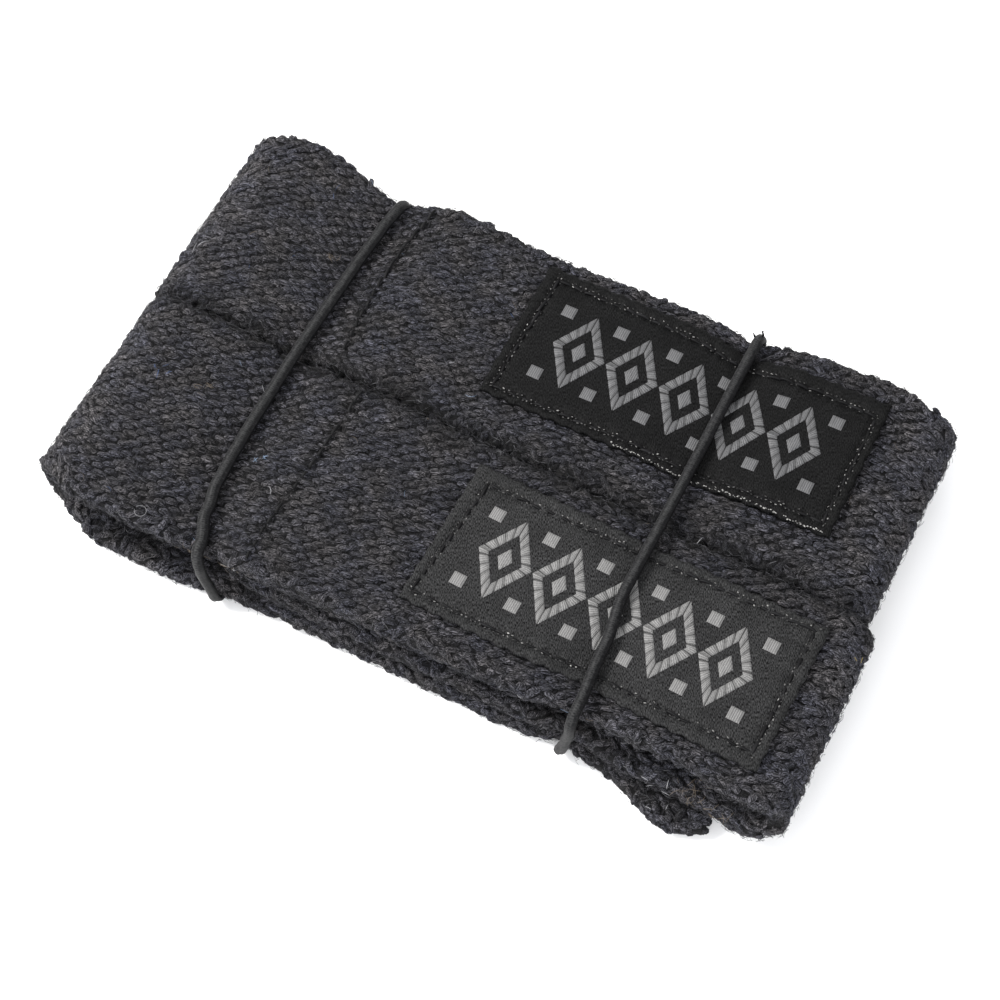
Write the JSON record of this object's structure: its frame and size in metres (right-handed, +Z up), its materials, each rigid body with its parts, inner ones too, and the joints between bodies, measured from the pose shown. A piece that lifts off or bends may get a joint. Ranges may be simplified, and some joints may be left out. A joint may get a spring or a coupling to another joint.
{
  "type": "pair of folded lifting straps held by two elastic cords",
  "caption": "Pair of heavy cotton webbing lifting straps, each folded into a flat packet with a woven label on top, held side by side by two thin elastic cords.",
  "frame": {"origin": "centre of the packets' footprint, on the surface they lie on", "axes": "+X along the straps towards the labels' end, +Y from the front strap to the back one, +Z up"},
  "size_m": [0.148, 0.0886, 0.0191],
  "materials": {
    "webbing": "coarse matt charcoal cotton weave, fuzzy",
    "label": "fine black satin weave with grey stitched relief",
    "elastic": "braided black elastic with a slight sheen"
  },
  "bodies": {
    "root": {"strap_front": "webbing", "strap_back": "webbing", "label_front": "label", "label_back": "label", "elastic_left": "elastic", "elastic_right": "elastic"}
  },
  "joints": []
}
